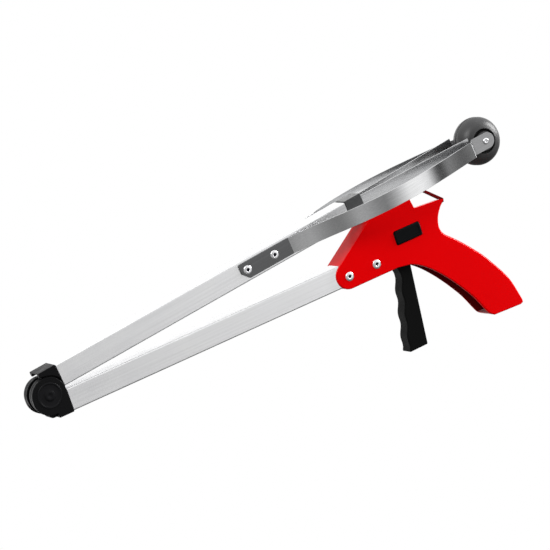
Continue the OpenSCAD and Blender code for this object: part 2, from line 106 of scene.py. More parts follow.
def curve(a, slope_a, b, slope_b, n):
    """Points of a cubic between two points with given slopes."""
    w = b[0] - a[0]
    points = []
    for i in range(n + 1):
        t = i / n
        h1, h2 = 2 * t**3 - 3 * t**2 + 1, -2 * t**3 + 3 * t**2
        g1, g2 = t**3 - 2 * t**2 + t, t**3 - t**2
        points.append((a[0] + w * t, a[1] * h1 + w * slope_a * g1 + b[1] * h2 + w * slope_b * g2))
    return points


def spline(points, n=5):
    """A smooth curve through the points."""
    p = [Vector(q) for q in points]
    p = [2 * p[0] - p[1]] + p + [2 * p[-1] - p[-2]]
    out = []
    for i in range(1, len(p) - 2):
        for k in range(n):
            t = k / n
            out.append(
                0.5
                * (
                    2 * p[i]
                    + (p[i + 1] - p[i - 1]) * t
                    + (2 * p[i - 1] - 5 * p[i] + 4 * p[i + 1] - p[i + 2]) * t * t
                    + (3 * p[i] - p[i - 1] - 3 * p[i + 1] + p[i + 2]) * t**3
                )
            )
    return [tuple(q) for q in out] + [tuple(p[-2])]


def fillet(corners, default=1.0, steps=6):
    """A closed outline with round corners; a corner is (x, z) or (x, z, radius)."""
    out = []
    n = len(corners)
    for i, c in enumerate(corners):
        p, a, b = Vector(c[:2]), Vector(corners[i - 1][:2]), Vector(corners[(i + 1) % n][:2])
        r = c[2] if len(c) > 2 else default
        da, db = (a - p).normalized(), (b - p).normalized()
        half = math.acos(max(-1, min(1, da.dot(db)))) / 2
        reach = min(r / math.tan(half), 0.48 * (a - p).length, 0.48 * (b - p).length) if r else 0
        if reach < 1e-3:
            out.append(tuple(p))
            continue
        start, end = p + da * reach, p + db * reach
        for k in range(steps + 1):
            t = k / steps
            out.append(tuple(start * (1 - t) ** 2 + p * 2 * t * (1 - t) + end * t * t))
    return out


def ring(x, z, r, n=96):
    return [(x + r * math.cos(math.tau * i / n), z + r * math.sin(math.tau * i / n)) for i in range(n)]


def box_outline(x0, z0, x1, z1, r=0.0, steps=6):
    return fillet([(x0, z0), (x1, z0), (x1, z1), (x0, z1)], r, steps)


def clean(points, tolerance=1e-3):
    out = []
    for p in points:
        if not out or (Vector(p) - Vector(out[-1])).length > tolerance:
            out.append(p)
    if (Vector(out[0]) - Vector(out[-1])).length <= tolerance:
        out.pop()
    return out


# ---- solids, in millimetres until they are placed ----

AXES = {"X": lambda a, b, h: (h, a, b), "Y": lambda a, b, h: (a, h, b), "Z": lambda a, b, h: (a, b, h)}


def to_object(bm, name="solid"):
    bmesh.ops.remove_doubles(bm, verts=bm.verts, dist=1e-4)
    bmesh.ops.recalc_face_normals(bm, faces=bm.faces)
    mesh = bpy.data.meshes.new(name)
    bm.to_mesh(mesh)
    bm.free()
    obj = bpy.data.objects.new(name, mesh)
    bpy.context.scene.collection.objects.link(obj)
    return obj


def skin(rings, closed_ends=True):
    """Quads between rings of equal length, with a face over each end."""
    bm = bmesh.new()
    rows = [[bm.verts.new(p) for p in r] for r in rings]
    n = len(rows[0])
    for a, b in zip(rows, rows[1:]):
        for i in range(n):
            j = (i + 1) % n
            bm.faces.new((a[i], a[j], b[j], b[i]))
    if closed_ends:
        bm.faces.new(rows[0][::-1])
        bm.faces.new(rows[-1])
    return to_object(bm)


ROUND_TURN = (0.02, 0.7)  # radians between neighbouring sides on a round stretch of an outline
FEW_POINTS = 12  # outlines with no more points than this keep their rims as given


def fit_rims(p, edge):
    """Cuts a rim's rounding down where the outline itself turns more tightly than the rim."""
    n = len(p)
    limit = list(edge)
    for i in range(n):
        a, b = p[i] - p[i - 1], p[(i + 1) % n] - p[i]
        turn = math.atan2(a.x * b.y - a.y * b.x, a.dot(b))
        if ROUND_TURN[0] < turn < ROUND_TURN[1]:
            radius = 0.5 * (a.length + b.length) / (2 * math.tan(turn / 2))
            limit[i] = min(limit[i], 0.8 * radius)
    lowest = [min(limit[(i + k) % n] for k in range(-3, 4)) for i in range(n)]
    return [sum(lowest[(i + k) % n] for k in range(-2, 3)) / 5 for i in range(n)]


def prism(outline, lo, hi, edge=0.0, steps=4, axis="Y"):
    """The outline drawn out along an axis; edge rounds its rims (one number, or one for each point)."""
    if isinstance(edge, (int, float)):
        outline = clean(outline)
        edge = [edge] * len(outline)
    n = len(outline)
    p = [Vector(q) for q in outline]
    area = sum(p[i - 1].x * p[i].y - p[i].x * p[i - 1].y for i in range(n))
    if area < 0:
        p, edge = p[::-1], edge[::-1]
    if n > FEW_POINTS:
        edge = fit_rims(p, edge)
    inward = []
    for i in range(n):
        d0, d1 = (p[i] - p[i - 1]).normalized(), (p[(i + 1) % n] - p[i]).normalized()
        n0, n1 = Vector((-d0.y, d0.x)), Vector((-d1.y, d1.x))
        inward.append((n0 + n1) / max(0.35, 1 + n0.dot(n1)))
    place = AXES[axis]
    rings = []
    turns = [math.pi / 2 * k / steps for k in range(steps + 1)] if max(edge) else [0]
    for sign, level in ((1, lo), (-1, hi)):
        part = []
        for a in turns:
            part.append(
                [
                    place(*(q + v * e * (1 - math.cos(a))), level + sign * e * (1 - math.sin(a)))
                    for q, v, e in zip(p, inward, edge)
                ]
            )
        rings += part[::-1] if sign > 0 else part
    return skin(rings)


def block(a, b, edge=0.0, corner=0.0, axis="Y"):
    """A box from a to b with rounded rims across the axis and rounded corners along it."""
    i, j, k = {"X": (1, 2, 0), "Y": (0, 2, 1), "Z": (0, 1, 2)}[axis]
    return prism(box_outline(a[i], a[j], b[i], b[j], corner), a[k], b[k], edge, axis=axis)


def rod(x, z, y0, y1, r, edge=0.0, n=64):
    return prism(ring(x, z, r, n), y0, y1, edge, steps=3)


def revolve(profile, centre=(0, 0, 0), axis="Y", n=96):
    """A closed solid of revolution; the profile runs (radius, height) from one end to the other."""
    bm = bmesh.new()
    place = AXES[axis]
    rows = []
    for r, h in profile:
        row = []
        for i in range(n if r > 1e-6 else 1):
            a = math.tau * i / n
            row.append(bm.verts.new(Vector(place(r * math.cos(a), r * math.sin(a), h)) + Vector(centre)))
        rows.append(row)
    pairs = list(zip(rows, rows[1:]))
    if len(rows[0]) > 1 and len(rows[-1]) > 1:
        pairs.append((rows[-1], rows[0]))
    for a, b in pairs:
        for i in range(n):
            j = (i + 1) % n
            if len(a) == 1 and len(b) == 1:
                break
            if len(a) == 1:
                bm.faces.new((a[0], b[i], b[j]))
            elif len(b) == 1:
                bm.faces.new((a[i], b[0], a[j]))
            else:
                bm.faces.new((a[i], b[i], b[j], a[j]))
    return to_object(bm)


def combine(base, *steps):
    """Adds ("+", solid) to and cuts ("-", solid) from the base, in order."""
    for sign, other in steps:
        mod = base.modifiers.new("step", "BOOLEAN")
        mod.operation = "UNION" if sign == "+" else "DIFFERENCE"
        mod.solver = "EXACT"
        if other.data.materials:
            mod.material_mode = "TRANSFER"
        mod.object = other
    graph = bpy.context.evaluated_depsgraph_get()
    mesh = bpy.data.meshes.new_from_object(base.evaluated_get(graph))
    bm = bmesh.new()
    bm.from_mesh(mesh)
    bmesh.ops.holes_fill(bm, edges=[e for e in bm.edges if e.is_boundary], sides=4)
    bm.to_mesh(mesh)
    bm.free()
    base.modifiers.clear()
    old, base.data = base.data, mesh
    bpy.data.meshes.remove(old)
    for _, other in steps:
        data = other.data
        bpy.data.objects.remove(other)
        bpy.data.meshes.remove(data)
    return base


def shade(obj, angle=34):
    mesh = obj.data
    mesh.polygons.foreach_set("use_smooth", [True] * len(mesh.polygons))
    mesh.set_sharp_from_angle(angle=math.radians(angle))
    mod = obj.modifiers.new("normals", "WEIGHTED_NORMAL")
    mod.keep_sharp = True
    mod.weight = 60


def paint(obj, material, second, inside):
    """Gives a solid its material, and the second one to the faces whose middle is inside."""
    obj.data.materials.append(material)
    obj.data.materials.append(second)
    for face in obj.data.polygons:
        if inside(face.center):
            face.material_index = 1


def put(obj, name, node, matrix, material, angle=34, near=False):
    """Places a solid, names it, shades it and lets it stand for a CAD node."""
    matrix = matrix @ MIRROR if near else matrix
    obj.name = obj.data.name = name
    obj.data.transform(matrix)
    if matrix.determinant() < 0:
        obj.data.flip_normals()
    shade(obj, angle)
    if not obj.data.materials:
        obj.data.materials.append(material)
    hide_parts(node)
    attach(obj, BODY_OF[node])
    return obj


# ---- materials ----


class Nodes:
    """A short way to write a shader's node tree."""

    def __init__(self, name):
        self.material = bpy.data.materials.new(name)
        self.material.use_nodes = True
        self.tree = self.material.node_tree
        self.shader = self.tree.nodes["Principled BSDF"]
        self.coords = self.tree.nodes.new("ShaderNodeTexCoord").outputs["Object"]

    def add(self, kind, **values):
        node = self.tree.nodes.new("ShaderNode" + kind)
        for key, value in values.items():
            if hasattr(node, key):
                setattr(node, key, value)
            else:
                self.set(node, key.replace("_", " "), value)
        return node

    def set(self, node, socket, value):
        socket = node.inputs[socket]
        if isinstance(value, bpy.types.NodeSocket):
            self.tree.links.new(value, socket)
        else:
            socket.default_value = value

    def stretched(self, scale, turn=0.0):
        """Object coordinates turned about Y, then scaled by axis."""
        turned = self.add("Mapping", Vector=self.coords, Rotation=(0, turn, 0))
        return self.add("Mapping", Vector=turned.outputs[0], Scale=scale).outputs[0]

    def noise(self, scale, detail=3.0, roughness=0.55, vector=None):
        vector = vector or self.coords
        node = self.add("TexNoise", Vector=vector, Scale=scale, Detail=detail, Roughness=roughness)
        return node.outputs["Fac"]

    def ramp(self, factor, stops):
        node = self.add("ValToRGB", Fac=factor)
        elements = node.color_ramp.elements
        while len(elements) < len(stops):
            elements.new(0.5)
        for element, (position, colour) in zip(elements, stops):
            element.position = position
            element.color = (*colour, 1) if len(colour) == 3 else colour
        return node.outputs["Color"]

    def span(self, factor, low, high, source=(0.3, 0.7)):
        node = self.add("MapRange")
        sockets = ("Value", "From Min", "From Max", "To Min", "To Max")
        for socket, value in zip(sockets, (factor, *source, low, high)):
            self.set(node, socket, value)
        return node.outputs["Result"]

    def blend(self, factor, a, b, mode="MIX"):
        node = self.add("Mix", data_type="RGBA", blend_type=mode)
        for index, value in ((0, factor), (6, a), (7, b)):
            self.set(node, index, value)
        return node.outputs[2]

    def bump(self, height, distance, strength=1.0, under=None):
        node = self.add("Bump", Height=height, Distance=distance * MM, Strength=strength)
        if under is not None:
            self.set(node, "Normal", under)
        return node.outputs["Normal"]

    def surface(self, **values):
        for key, value in values.items():
            self.set(self.shader, key.replace("_", " "), value)
        return self.material


def shades(colour, *factors):
    return [tuple(c * f for c in colour) for f in factors]


def plastic(
    name, colour, gloss, grain=2500.0, depth=0.02, specular=0.5, wear=0.06, flow_depth=0.03, tint=(1, 1, 1)
):
    """Moulded plastic: a fine grain, faint flow marks and small changes of gloss from handling."""
    n = Nodes(name)
    flow = n.noise(28, 4)
    dark, light = shades(colour, 1 - wear, 1 + wear)
    fine = n.noise(grain, 2)
    smudge = n.noise(120, 5, 0.6)
    grain_bump = n.bump(fine, depth, 0.5)
    return n.surface(
        Base_Color=n.ramp(flow, [(0.3, dark), (0.7, light)]),
        Roughness=n.span(smudge, gloss * 0.85, gloss * 1.2),
        Specular_IOR_Level=specular,
        Specular_Tint=(*tint, 1),
        Normal=n.bump(flow, flow_depth, 0.3, under=grain_bump),
    )


def brushed(name, colour, gloss, turn=0.0, lines=900.0, contrast=0.05, depth=0.012):
    """Drawn or rolled metal: long thin lines along the part, and cloudy patches."""
    n = Nodes(name)
    long_lines = n.noise(1, 3, 0.6, n.stretched((9, lines, lines), turn))
    fine_lines = n.noise(1, 2, 0.6, n.stretched((40, lines * 4, lines * 4), turn))
    cloud = n.noise(45, 4)
    tones = n.ramp(long_lines, list(zip((0.3, 0.7), shades(colour, 1 - contrast, 1 + contrast))))
    clouds = n.ramp(cloud, [(0.3, (0.93, 0.93, 0.94)), (0.7, (1, 1, 1))])
    low = n.bump(fine_lines, depth * 0.5, 0.5)
    return n.surface(
        Base_Color=n.blend(1.0, tones, clouds, "MULTIPLY"),
        Metallic=1.0,
        Roughness=n.span(cloud, gloss * 0.9, gloss * 1.15),
        Normal=n.bump(long_lines, depth, 0.6, under=low),
    )


def rubber(name, colour, gloss, specular=0.45):
    """Moulded rubber: a matt skin with pits and pale dusty scuffs."""
    n = Nodes(name)
    dust = n.noise(70, 6, 0.65)
    pits = n.noise(1800, 2)
    dark, mid, pale = shades(colour, 0.85, 1.0, 1.5)
    return n.surface(
        Base_Color=n.ramp(dust, [(0.35, dark), (0.58, mid), (0.8, pale)]),
        Roughness=n.span(dust, gloss, gloss * 1.3),
        Specular_IOR_Level=specular,
        Normal=n.bump(pits, 0.04, 0.5),
    )


RED = plastic(
    "gloss_red", (0.72, 0.0003, 0.001), 0.2, 3000, 0.003,
    specular=0.2, wear=0.02, flow_depth=0.01, tint=(1, 0, 0.02),
)
# A darker copy of the red plastic: painted shade on the hollows inside the handle and on the rib by the horn.
PAINTED_SHADE_RED = plastic("shaded_red", (0.15, 0.001, 0.002), 0.5, grain=3000, depth=0.006, specular=0.03)
BLACK = plastic("hinge_black", (0.003, 0.003, 0.0035), 0.42, grain=1700, depth=0.02, specular=0.1)
GRIP_BLACK = plastic("trigger_black", (0.0055, 0.0055, 0.0055), 0.42, grain=1100, depth=0.04, specular=0.02)
BUTTON_BLACK = plastic("button_black", (0.002, 0.003, 0.0035), 0.38, grain=2200, depth=0.02, specular=0.06)
CAP_BLACK = plastic("cap_black", (0.005, 0.005, 0.006), 0.36, grain=1900, depth=0.02, specular=0.12)
BLOCK = plastic("block_grey", (0.022, 0.023, 0.024), 0.3, grain=1300, depth=0.03, specular=1.0)
LOW_METAL = brushed("anodised_low", (0.865, 0.867, 0.87), 0.36, lines=650)
UP_METAL = brushed("anodised_up", (0.865, 0.867, 0.87), 0.36, turn=FOLD, lines=650)
STEEL = brushed("spring_steel", (0.56, 0.563, 0.565), 0.1, FOLD, 1400, contrast=0.08, depth=0.006)
DARK_STEEL = brushed("blued_steel", (0.125, 0.126, 0.128), 0.34, turn=FOLD, lines=1400, contrast=0.1)
PULL_STEEL = brushed("pull_steel", (0.68, 0.683, 0.685), 0.22, turn=FOLD, lines=1400, contrast=0.08)
# A darker copy of the spring steel: painted shade on the strip's tab end beside the cup.
TAB_STEEL_PAINTED_SHADE = brushed("tab_steel_painted_shade", (0.3, 0.301, 0.303), 0.32, turn=FOLD, lines=1400, contrast=0.08)
RIVET = brushed("rivet_alloy", (0.85, 0.85, 0.86), 0.28, lines=300, contrast=0.04, depth=0.02)
# Near-black metal: painted shade in the rivets' sunk middles.
RIVET_HOLE_PAINTED_SHADE = brushed("rivet_hole_painted_shade", (0.05, 0.05, 0.07), 0.45, lines=300)
HARDWARE = brushed("hardware_steel", (0.55, 0.55, 0.56), 0.3, lines=1200)
WIRE = brushed("spring_wire", (0.35, 0.35, 0.36), 0.3, lines=2500)
CUP = rubber("cup_rubber", (0.036, 0.036, 0.037), 0.34)
# Near-black rubber: painted shade in the sunk well round the tab.
CUP_WELL_PAINTED_SHADE = rubber("cup_well_painted_shade", (0.006, 0.006, 0.006), 0.6, specular=0.1)

SLOT_LOOK = {
    "red_plastic": RED,
    "black_plastic": BLACK,
    "aluminium_tube": LOW_METAL,
    "spring_steel": STEEL,
    "steel_hardware": HARDWARE,
    "spring_wire": WIRE,
    "cup_rubber": CUP,
    "block_plastic": BLOCK,
}

# ---- lower arm ----

RIVET_XZ = ((271.0, -1.8), (299.0, -1.8))
RIVET_HOLE_R, TRIG_HOLE_R = 2.25, 2.05
TRIG_X, TRIG_Z = 326.0, 26.0
LOCK_GAP = 0.7
LOCK_X, LOCK_Z, LOCK_LEN, LOCK_H = 336.5, 11.8, 26.0, 11.5
LOCK_PIN, LOCK_PIN_R = (LOCK_X + 2, LOCK_Z), 1.2
RELEASE = math.radians(-JOINTS["trigger_squeeze"]["range_deg"][0])
ROD_OFF = 4.8
SPLIT = 0.05


def tube(start, end, holes, matrix, name, node, material):
    """A square tube with a dressed edge at both ends and drilled rivet holes."""
    half, wall, chamfer = TUBE_HALF, 1.2, 0.35

    def loop(w, r):
        return box_outline(-w, -w, w, w, r, 8)

    def at(x, w, r):
        return [(x, a, b) for a, b in loop(w, r)]

    inner = half - wall
    rings = [
        at(start, inner + chamfer * 0.5, 0.9),
        at(start, half - chamfer, 1.1),
        at(start + chamfer, half, 1.4),
        at(end - chamfer, half, 1.4),
        at(end, half - chamfer, 1.1),
        at(end, inner + chamfer * 0.5, 0.9),
        at(end - chamfer, inner, 0.6),
        at(start + chamfer, inner, 0.6),
        at(start, inner + chamfer * 0.5, 0.9),
    ]
    obj = skin(rings, closed_ends=False)
    cuts = [("-", rod(x, z, -20, 20, RIVET_HOLE_R)) for x, z in holes]
    return put(combine(obj, *cuts), name, node, matrix, material)


tube(TUBE_START, LOW_END, RIVET_XZ, LOW, "lower_tube_drawn", "lower_tube", LOW_METAL)


def handle_outline():
    """Side view of the handle with the rounding of its rim at each point."""
    front = [
        (270.5 + 11.6 * math.cos(math.radians(a)), -1 + 11.6 * math.sin(math.radians(a)))
        for a in range(124, 271, 6)
    ]
    belly = [(318, -12.6)] + curve((330, -14.6), -0.35, (369, -50.3), -1.35, 14)
    under = spline([(369, -50.3), (378.5, -64.5), (386, -79.5), (389, -84.5), (393, -87.4)], 5)[1:]
    end = fillet([(393, -87.4, 0), (421, -88.8, 1), (423.8, -87.8, 1.2), (424, -85, 0)], 1)[1:-1]
    back = spline(
        [(424, -85), (419.8, -67), (414.6, -55.5), (407.7, -44.3), (400.8, -34), (393.2, -24.9), (385.2, -16),
         (376.6, -7.6), (371.2, -2.6), (368.6, 2), (368.2, 7), (370.4, 14), (375.2, 21.2), (380.2, 25.8)], 5)
    top = fillet(
        [(380.2, 25.8, 0), (379.4, 27.5, 1), (350.2, 29.7, 2.2), (348.3, 40.3, 1.2), (307, 37.2, 1.5),
         (front[0][0], front[0][1], 0)], 1)[1:-1]
    parts = (
        (front, 1.0), (belly, 1.1), (under, 1.3), (end, 1.6), (back, 2.4), (top, 0.9),
    )
    points, rims = [], []
    for part, rim in parts:
        for p in part:
            if not points or (Vector(p) - Vector(points[-1])).length > 0.05:
                points.append(p)
                rims.append(rim)
    smooth_rims = [sum(rims[(i + k) % len(rims)] for k in range(-4, 5)) / 9 for i in range(len(rims))]
    return points, smooth_rims


CHAMBER = [
    (262.5, -10.3), (318, -10.4), (318, -30), (352, -30), (366, -20.5), (368.6, -12), (366, -6), (364.8, 2),
    (364.6, 8), (366.8, 15.5), (368.4, 18.4), (352.4, 18.8), (346.2, 22.6), (345.6, 37.9), (308, 35.2),
    (262.5, 5.6),
]
CHANNEL = [
    (338, -8), (338, -24), (350, -40), (362, -56), (372, -76), (384, -83.4), (420.4, -85.4), (421.2, -83.5),
    (417.3, -67.6), (405.4, -45.4), (391, -26.6), (372, -8.4), (352, -6),
]
RIB = [
    (379.2, 24.2), (380.0, 27.4), (364.4, 41.6), (361, 43.2), (346.4, 42.4), (346.4, 38.4), (348.0, 38.4),
    (348.8, 40.2), (360.4, 41.2), (362.6, 40.2), (376.2, 27.4), (376.2, 24.2),
]
HORN_W, RIB_W = 4.2, 4.0
RIB_SUNK = 0.06  # how far the rib stands back from the near face


def build_handle():
    points, rims = handle_outline()
    half, inner = SHELL_HALF, SHELL_IN
    seat = TUBE_HALF + SPLIT
    body = prism(points, -half, half, rims, steps=5)
    body.data.materials.append(RED)
    chamber = prism(fillet(CHAMBER, 0.8, 3), -inner, inner)
    channel = prism(fillet(CHANNEL, 2.0, 4), -inner, inner)
    # The hollows inside the shell carry the darker red as painted shade.
    for hollow in (chamber, channel):
        hollow.data.materials.append(PAINTED_SHADE_RED)
    shell = combine(
        body,
        ("-", chamber),
        ("-", channel),
        ("-", block((348.3, -half + HORN_W, 21), (400, half + 1, 60))),
    )
    rib_y = RIB_SUNK - half
    rib = prism(fillet(RIB, 0.5, 3), rib_y, rib_y + RIB_W, 0.4, steps=3)
    # The rib carries the darker red as painted shade.
    rib.data.materials.append(PAINTED_SHADE_RED)
    shell = combine(
        shell,
        ("+", rib),
        ("+", rod(TRIG_X, TRIG_Z, -inner - 0.2, -5.4, 4.4)),
        ("+", rod(TRIG_X, TRIG_Z, 5.4, inner + 0.2, 4.4)),
        ("-", block((250, -seat, -seat), (LOW_END + 1, seat, seat), 0, 1.2, "X")),
        ("-", block((303, -8, -20), (338, 8, -5))),
        ("-", rod(TRIG_X, TRIG_Z, -half + 1, half - 1, TRIG_HOLE_R)),
        ("-", block((LOCK_X - LOCK_LEN / 2 - LOCK_GAP, -20, LOCK_Z - LOCK_H / 2 - LOCK_GAP),
                    (LOCK_X + LOCK_LEN / 2 + LOCK_GAP, -5, LOCK_Z + LOCK_H / 2 + LOCK_GAP), 0, 2.4)),
        *[("-", rod(x, z, -20, 20, RIVET_HOLE_R)) for x, z in RIVET_XZ],
    )
    put(shell, "handle_moulding", "handle_shell", LOW, RED)
    shell.visible_glossy = False


def rivet_profile(reach, head=3.9, hole=1.35, shank=2.2, rise=0.8):
    """Radius and height of a domed hollow rivet, from the near end to the far end."""
    half = [
        (0, reach - 1.2), (hole - 0.15, reach - 1.2), (hole - 0.1, reach + rise - 0.35),
        (hole + 0.25, reach + rise),
    ]
    dome = [math.radians(a) for a in range(0, 91, 15)]
    width = head - hole - 0.25 - 0.45
    half += [(hole + 0.7 + width * math.sin(a), reach + rise * math.cos(a) * 0.92 + 0.04) for a in dome[:-1]]
    half += [(head, reach + 0.16), (head - 0.05, reach), (shank, reach)]
    return half + [(r, -h) for r, h in half[::-1]]


def rivet(x, z, reach, matrix, name, node):
    """A through rivet; its sunk middle is painted darker than its head, as painted shade in the hole."""
    obj = revolve(rivet_profile(reach), (x, 0, z))
    paint(obj, RIVET, RIVET_HOLE_PAINTED_SHADE, lambda c: math.hypot(c.x - x, c.z - z) < 1.3 and abs(c.y) < reach + 0.8)
    put(obj, name, node, matrix, RIVET, 50)


def trigger_outline():
    """Side view of the finger blade: shallow finger waves down its front, a plain back."""
    front = []
    for i in range(61):
        z = -19 - 64 * i / 60
        front.append((325 + 0.2313 * z + 0.8 * math.cos(math.tau * (z + 44) / 19.5), z))
    foot = fillet([front[-1] + (0,), (305, -86.8, 1.0), (324, -86.5, 1.2), (332, -17.5, 0)], 1, 4)[1:]
    return [(317.6, -8)] + front + foot + [(332.6, -8)]


LEVER = [
    (318.4, 26), (319.6, 31), (323, 33.4), (329, 33.4), (332.4, 31), (334, 22), (343, 18.6), (344.6, 14),
    (343, 4.6), (335, -1), (332.6, -8.5), (317.6, -8.5), (318.4, 6),
]


def lock_hole(swing):
    """Where the lock's pin meets the trigger after it has swung out."""
    x, z = LOCK_PIN[0] - TRIG_X, LOCK_PIN[1] - TRIG_Z
    c, s = math.cos(swing), math.sin(swing)
    return TRIG_X + x * c - z * s, TRIG_Z + z * c + x * s


def build_trigger():
    blade = prism(trigger_outline(), -7, 7, 1.3, steps=5)
    slot = block((300, -2.1, -0.5), (331, 2.1, 9.5))
    trigger = combine(
        blade,
        ("+", prism(fillet(LEVER, 1.2, 3), -5, 5, 0.5, steps=2)),
        ("-", rod(TRIG_X, TRIG_Z, -10, 10, TRIG_HOLE_R)),
        ("-", slot),
        ("-", prism(box_outline(TRIG_X - 1.6, ROD_OFF - 2.4, TRIG_X + 1.6, ROD_OFF + 1.7, 1.55, 5), -10, 10)),
        *[("-", rod(*lock_hole(a), -6, -1.4, LOCK_PIN_R + 0.25)) for a in (0, RELEASE)],
    )
    put(trigger, "trigger_moulding", "trigger", LOW, GRIP_BLACK)


def build_lock():
    x0, x1 = LOCK_X - LOCK_LEN / 2, LOCK_X + LOCK_LEN / 2
    z0, z1 = LOCK_Z - LOCK_H / 2, LOCK_Z + LOCK_H / 2
    button = combine(
        block((x0, -SHELL_HALF - 1.15, z0), (x1, -SHELL_IN + 0.2, z1), 0.7, 2.2),
        ("+", block((x0 - 1.4, -SHELL_IN + 0.1, z0 - 1.4), (x1 + 1.4, -SHELL_IN + 1.1, z1 + 1.4), 0.2, 2.6)),
        ("+", rod(*LOCK_PIN, -SHELL_IN + 0.6, -5.6, LOCK_PIN_R, 0.3)),
        ("-", block((x0 + 2, -SHELL_HALF - 2, z0 + 2), (x1 - 2, -SHELL_HALF - 0.85, z1 - 2), 0, 1.4)),
    )
    put(button, "lock_moulding", "lock_button", LOW, BUTTON_BLACK)


build_handle()
build_trigger()
build_lock()
rivet(*RIVET_XZ[0], SHELL_HALF, LOW, "handle_rivet_1", "handle_rivet_front")
rivet(*RIVET_XZ[1], SHELL_HALF, LOW, "handle_rivet_2", "handle_rivet_rear")

# ---- fold hinge ----

KNUCKLE_R, LOBE = 15.0, 1.4
LAYER_OUT, LAYER_MID, LAYER_GAP = 6.4, 2.9, 0.15
CAP_R, BUTTON_FLOOR = 10.7, 7.4
LIP, LIP_GAP, LUG_R, LUG_X, LUG_Z, TOP_SKIN = 1.4, 0.2, 3.6, -15.3, -5.6, 0.8
TUBE_IN = TUBE_HALF - 1.2 - 0.1
FERRULE_HOLE = 2.3
PIVOT_HOLE_R = 2.55
FINE = 128  # sides of the hinge's large rounds


def spigot():
    return block((0, -TUBE_IN, -TUBE_IN), (30, TUBE_IN, TUBE_IN), 0.6, 0.8, "X")


def cross_rod(z):
    return prism(ring(0, z, FERRULE_HOLE, 32), -12, 31, axis="X")


def build_lower_half():
    end = TUBE_START - 0.05
    inner = LAYER_OUT - 0.3
    x0, z0 = -BACK, DROP
    steps = [
        ("+", spigot()),
        ("+", rod(LUG_X, LUG_Z, -inner, inner, LUG_R, 0.5)),
        ("+", block((LUG_X, -inner, LUG_Z - LUG_R), (x0 + LIP + 1, inner, LUG_Z), 0.5)),
        ("-", rod(x0, z0, -LAYER_OUT, LAYER_OUT, KNUCKLE_R + 0.3, n=FINE)),
    ]
    for y0, y1 in ((-HINGE_HALF, -LAYER_OUT), (LAYER_OUT, HINGE_HALF)):
        for z in (z0, z0 - LOBE):
            steps.append(("+", rod(x0, z, y0, y1, KNUCKLE_R, 0.6, FINE)))
    steps += [
        ("-", rod(x0, z0, -20, 20, PIVOT_HOLE_R)),
        ("-", rod(x0, z0, -20, -BUTTON_FLOOR, CAP_R + 0.12, n=FINE)),
        ("-", rod(x0, z0, HINGE_HALF - 1.2, 20, CAP_R + 0.12, n=FINE)),
        ("-", cross_rod(ROD_OFF)),
    ]
    body = block((x0 + LIP + LIP_GAP, -HINGE_HALF, -HINGE_HALF), (end, HINGE_HALF, z0 - 0.05), 0.6, 0.8)
    put(combine(body, *steps), "hinge_lower_moulding", "hinge_lower_half", LOW, BLACK)


def build_upper_half():
    end = TUBE_START - 0.05
    inner = LAYER_OUT - LAYER_GAP
    x0, z0 = -BACK, -DROP
    sweep = KNUCKLE_R + LOBE + 0.2
    roof = HINGE_HALF - TOP_SKIN
    lug_low, lug_end = -LUG_Z - LUG_R - 0.3, 2 * x0 - LUG_X + LUG_R + 0.3
    body = combine(
        block((x0 - LIP, -HINGE_HALF, z0 + 0.05), (end, HINGE_HALF, HINGE_HALF), 0.7, 0.9),
        ("+", spigot()),
        ("-", rod(x0, z0, inner, 20, sweep, n=FINE)),
        ("-", rod(x0, z0, -20, -inner, sweep, n=FINE)),
        ("-", block((x0 - LIP - 1, -inner, z0 - 1), (x0 + 0.1, inner, roof))),
        ("-", block((x0 - LIP - 1, -inner, lug_low), (lug_end, inner, roof))),
        ("-", rod(x0, z0, -LAYER_MID, LAYER_MID, 8.4)),
        ("+", rod(x0, z0, -inner, -LAYER_MID, KNUCKLE_R, 0.4, FINE)),
        ("+", rod(x0, z0, LAYER_MID, inner, KNUCKLE_R, 0.4, FINE)),
        ("-", rod(x0, z0, -20, 20, PIVOT_HOLE_R)),
        ("-", cross_rod(-ROD_OFF)),
    )
    put(body, "hinge_upper_moulding", "hinge_upper_half", UP, BLACK)


def build_cap(s, name, node):
    """A round cap: raised rim, sunk ring and a low hub, facing outwards."""
    profile = [
        (0, 0), (CAP_R, 0), (CAP_R, 1.25), (CAP_R - 0.35, 1.6), (CAP_R - 1.2, 1.6), (CAP_R - 1.6, 1.15),
        (CAP_R - 2.2, 1.02), (5.0, 1.02), (4.4, 1.3), (4.2, 1.75), (3.9, 1.9), (1.8, 1.9), (1.5, 1.75),
        (0, 1.7),
    ]
    cap = revolve([(r, s * (9.05 + h)) for r, h in profile], (-BACK, 0, DROP), n=FINE)
    put(cap, name, node, LOW, CAP_BLACK, 28)


build_lower_half()
build_upper_half()
build_cap(-1, "hinge_button_face", "hinge_button")
build_cap(1, "hinge_cap_face", "hinge_cap_far")

# ---- pull cable round the hinge ----

CABLE_R, CABLE_TURN = 0.8, DROP - ROD_OFF
CABLE_END = 19.0  # how far past the tubes' hinge ends the cable reaches


def cable_route():
    """The cable's middle line from the lower rod, round the pivot, to the upper rod."""
    centre = Vector((PIVOT.x, 0, PIVOT.z))
    straight = BACK + CABLE_END
    route = [Vector((PIVOT.x + BACK + CABLE_END - i * straight / 24, 0, ROD_OFF)) for i in range(24)]
    turn = math.pi - FOLD
    for i in range(41):
        a = -math.pi / 2 - turn * i / 40
        route.append(centre + CABLE_TURN * Vector((math.cos(a), 0, math.sin(a))))
    ahead = Vector((math.cos(FOLD), 0, math.sin(FOLD)))
    top = route[-1]
    return route + [top + ahead * straight * i / 24 for i in range(1, 25)]


